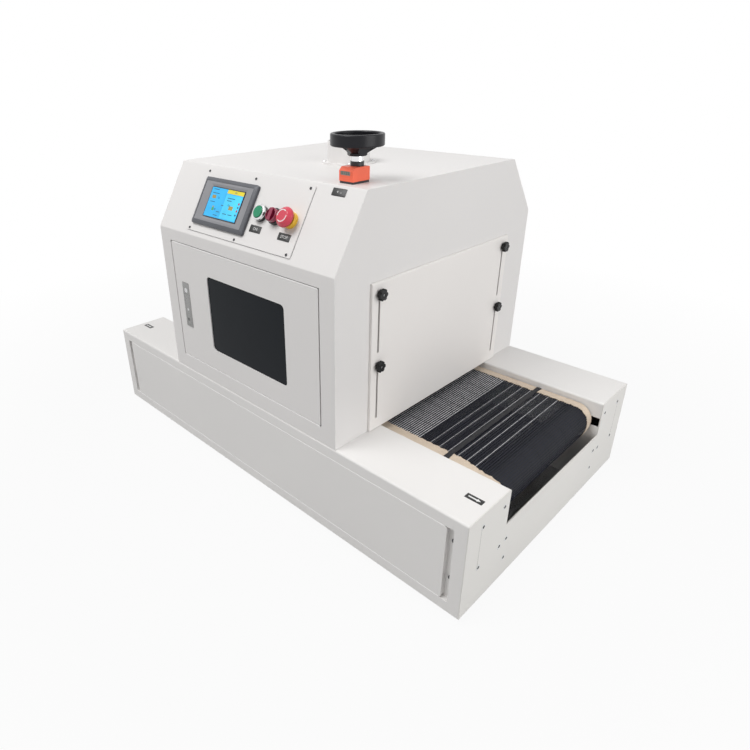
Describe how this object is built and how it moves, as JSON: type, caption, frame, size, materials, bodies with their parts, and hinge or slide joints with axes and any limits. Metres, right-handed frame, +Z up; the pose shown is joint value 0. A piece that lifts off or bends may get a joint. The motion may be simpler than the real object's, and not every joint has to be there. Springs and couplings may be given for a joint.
{
  "type": "benchtop conveyor oven",
  "caption": "Benchtop tunnel oven: a folded white hood with sloping control panel, hinged window door and end shutters stands over an open mesh belt in a low trough base.",
  "frame": {"origin": "middle of the footprint, on the plane the feet stand on", "axes": "+X along the belt towards the outfeed end, +Y from the control side to the back, +Z up"},
  "size_m": [1.04, 0.6, 0.7133],
  "materials": {
    "white_coat": "satin powder coat",
    "zinc_sheet": "zinc plated",
    "bright_steel": "ground bar",
    "foot_rubber": "matt",
    "belt_fabric": "coated open mesh",
    "belt_edging": "coated woven tape",
    "belt_seam": "coated seam",
    "black_iron": "painted",
    "roller_black": "anodised",
    "roller_alloy": "turned",
    "motor_paint": "satin",
    "black_plastic": "moulded",
    "smoked_glass": "smoked, polished",
    "lock_steel": "satin nickel",
    "lock_chrome": "polished",
    "bezel_grey": "fine grain",
    "screen_face": "backlit panel",
    "green_cap": "moulded",
    "burgundy_cap": "moulded",
    "yellow_collar": "moulded",
    "red_head": "moulded",
    "orange_shell": "moulded",
    "wheel_black": "moulded",
    "reflector_alloy": "bright rolled",
    "lamp_quartz": "clear quartz with ceramic caps"
  },
  "bodies": {
    "oven": {"front_cabinet": "white_coat", "rear_cabinet": "white_coat", "right_end_plate": "white_coat", "left_end_plate": "white_coat", "front_access_panel": "white_coat", "rear_access_panel": "white_coat", "hood_wrap": "white_coat", "hood_right_side": "white_coat", "hood_left_side": "white_coat", "control_plate": "white_coat", "exhaust_collar": "white_coat", "base_floor_pan": "zinc_sheet", "belt_bed_plate": "zinc_sheet", "door_hinge_brackets": "zinc_sheet", "shutter_studs": "zinc_sheet", "power_supply": "zinc_sheet", "belt_support_rods": "bright_steel", "guide_rods": "bright_steel", "rubber_feet": "foot_rubber", "belt_mesh": "belt_fabric", "belt_edge_strips": "belt_edging", "belt_splice": "belt_seam", "roller_bearing_blocks": "black_iron", "gear_motor": "motor_paint", "power_inlet": "black_plastic", "button_bezels": "black_plastic", "fan_frame": "black_plastic", "indicator_plate": "black_plastic", "hmi_housing": "bezel_grey", "hmi_screen": "screen_face", "estop_collar": "yellow_collar", "indicator_body": "orange_shell"},
    "door": {"door_panel": "white_coat", "door_window": "smoked_glass", "lock_plate": "lock_steel"},
    "lock_lever": {"lock_lever": "lock_steel"},
    "lock_cylinder": {"lock_cylinder": "lock_chrome"},
    "start_button": {"start_button": "green_cap"},
    "selector_knob": {"selector_knob": "burgundy_cap"},
    "estop_stem": {"estop_stem": "black_plastic"},
    "estop_head": {"estop_head": "red_head"},
    "shutter_right": {"shutter_right": "white_coat"},
    "shutter_left": {"shutter_left": "white_coat"},
    "handwheel": {"handwheel": "wheel_black", "lift_screw": "lock_chrome", "indicator_sleeve": "black_plastic"},
    "lamp": {"lamp_carriage": "roller_alloy", "lamp_reflector": "reflector_alloy", "lamp_tubes": "lamp_quartz"},
    "drive_roller": {"drive_roller": "roller_black"},
    "idler_roller": {"idler_roller": "roller_black"},
    "fan_impeller": {"fan_impeller": "black_plastic"},
    "knob_right_front_upper": {"knob_right_front_upper": "black_plastic"},
    "knob_right_front_lower": {"knob_right_front_lower": "black_plastic"},
    "knob_right_rear_upper": {"knob_right_rear_upper": "black_plastic"},
    "knob_right_rear_lower": {"knob_right_rear_lower": "black_plastic"},
    "knob_left_front_upper": {"knob_left_front_upper": "black_plastic"},
    "knob_left_front_lower": {"knob_left_front_lower": "black_plastic"},
    "knob_left_rear_upper": {"knob_left_rear_upper": "black_plastic"},
    "knob_left_rear_lower": {"knob_left_rear_lower": "black_plastic"}
  },
  "joints": [
    {"name": "door_swing", "type": "hinge", "parent": "oven", "child": "door", "pos_m": [0.1907, -0.29, 0.36455], "axis": [0, 0, 1], "range_deg": [0, 110]},
    {"name": "lock_lever_tilt", "type": "hinge", "parent": "door", "child": "lock_lever", "pos_m": [-0.1843, -0.2985, 0.3506], "axis": [1, 0, 0], "range_deg": [0, 20]},
    {"name": "lock_turn", "type": "hinge", "parent": "door", "child": "lock_cylinder", "pos_m": [-0.1843, -0.29, 0.3932], "axis": [0, 1, 0], "range_deg": [0, 90]},
    {"name": "start_press", "type": "slide", "parent": "oven", "child": "start_button", "axis": [0, 0.8569, -0.5155], "range_m": [0, 0.0032], "stiffness_N_per_m": 500, "springref_m": -0.001},
    {"name": "selector_turn", "type": "hinge", "parent": "oven", "child": "selector_knob", "pos_m": [0.0774, -0.27122, 0.58256], "axis": [0, -0.8569, 0.5155], "range_deg": [-45, 45]},
    {"name": "estop_press", "type": "slide", "parent": "oven", "child": "estop_stem", "axis": [0, 0.8569, -0.5155], "range_m": [0, 0.004], "stiffness_N_per_m": 1200, "springref_m": -0.001},
    {"name": "estop_twist", "type": "hinge", "parent": "estop_stem", "child": "estop_head", "pos_m": [0.11539, -0.27979, 0.58772], "axis": [0, -0.8569, 0.5155], "range_deg": [-40, 0], "stiffness_Nm_per_rad": 0.05, "springref_deg": 2.86},
    {"name": "shutter_right_lift", "type": "slide", "parent": "oven", "child": "shutter_right", "axis": [0, 0, 1], "range_m": [0, 0.106]},
    {"name": "shutter_left_lift", "type": "slide", "parent": "oven", "child": "shutter_left", "axis": [0, 0, 1], "range_m": [0, 0.106]},
    {"name": "wheel_turn", "type": "hinge", "parent": "oven", "child": "handwheel", "pos_m": [0.1874, -0.184, 0.6], "axis": [0, 0, 1], "range_deg": [-4325, 2885]},
    {"name": "lamp_lift", "type": "slide", "parent": "oven", "child": "lamp", "axis": [0, 0, 1], "range_m": [-0.04, 0.06]},
    {"name": "drive_spin", "type": "hinge", "parent": "oven", "child": "drive_roller", "pos_m": [-0.4725, 0, 0.159], "axis": [0, 1, 0], "continuous": true},
    {"name": "idler_spin", "type": "hinge", "parent": "oven", "child": "idler_roller", "pos_m": [0.4725, 0, 0.159], "axis": [0, 1, 0], "continuous": true},
    {"name": "fan_spin", "type": "hinge", "parent": "oven", "child": "fan_impeller", "pos_m": [0.0227, -0.0275, 0.61], "axis": [0, 0, 1], "continuous": true},
    {"name": "knob_right_front_upper_turn", "type": "hinge", "parent": "oven", "child": "knob_right_front_upper", "pos_m": [0.2475, -0.197, 0.467], "axis": [1, 0, 0], "range_deg": [0, 360]},
    {"name": "knob_right_front_lower_turn", "type": "hinge", "parent": "oven", "child": "knob_right_front_lower", "pos_m": [0.2475, -0.197, 0.334], "axis": [1, 0, 0], "range_deg": [0, 360]},
    {"name": "knob_right_rear_upper_turn", "type": "hinge", "parent": "oven", "child": "knob_right_rear_upper", "pos_m": [0.2475, 0.197, 0.467], "axis": [1, 0, 0], "range_deg": [0, 360]},
    {"name": "knob_right_rear_lower_turn", "type": "hinge", "parent": "oven", "child": "knob_right_rear_lower", "pos_m": [0.2475, 0.197, 0.334], "axis": [1, 0, 0], "range_deg": [0, 360]},
    {"name": "knob_left_front_upper_turn", "type": "hinge", "parent": "oven", "child": "knob_left_front_upper", "pos_m": [-0.2555, -0.197, 0.467], "axis": [-1, 0, 0], "range_deg": [0, 360]},
    {"name": "knob_left_front_lower_turn", "type": "hinge", "parent": "oven", "child": "knob_left_front_lower", "pos_m": [-0.2555, -0.197, 0.334], "axis": [-1, 0, 0], "range_deg": [0, 360]},
    {"name": "knob_left_rear_upper_turn", "type": "hinge", "parent": "oven", "child": "knob_left_rear_upper", "pos_m": [-0.2555, 0.197, 0.467], "axis": [-1, 0, 0], "range_deg": [0, 360]},
    {"name": "knob_left_rear_lower_turn", "type": "hinge", "parent": "oven", "child": "knob_left_rear_lower", "pos_m": [-0.2555, 0.197, 0.334], "axis": [-1, 0, 0], "range_deg": [0, 360]}
  ],
  "couplings": [
    {"joint": "wheel_turn", "follows": "lamp_lift", "rad_per_m": -1256.6},
    {"joint": "idler_spin", "follows": "drive_spin", "ratio": 1}
  ]
}
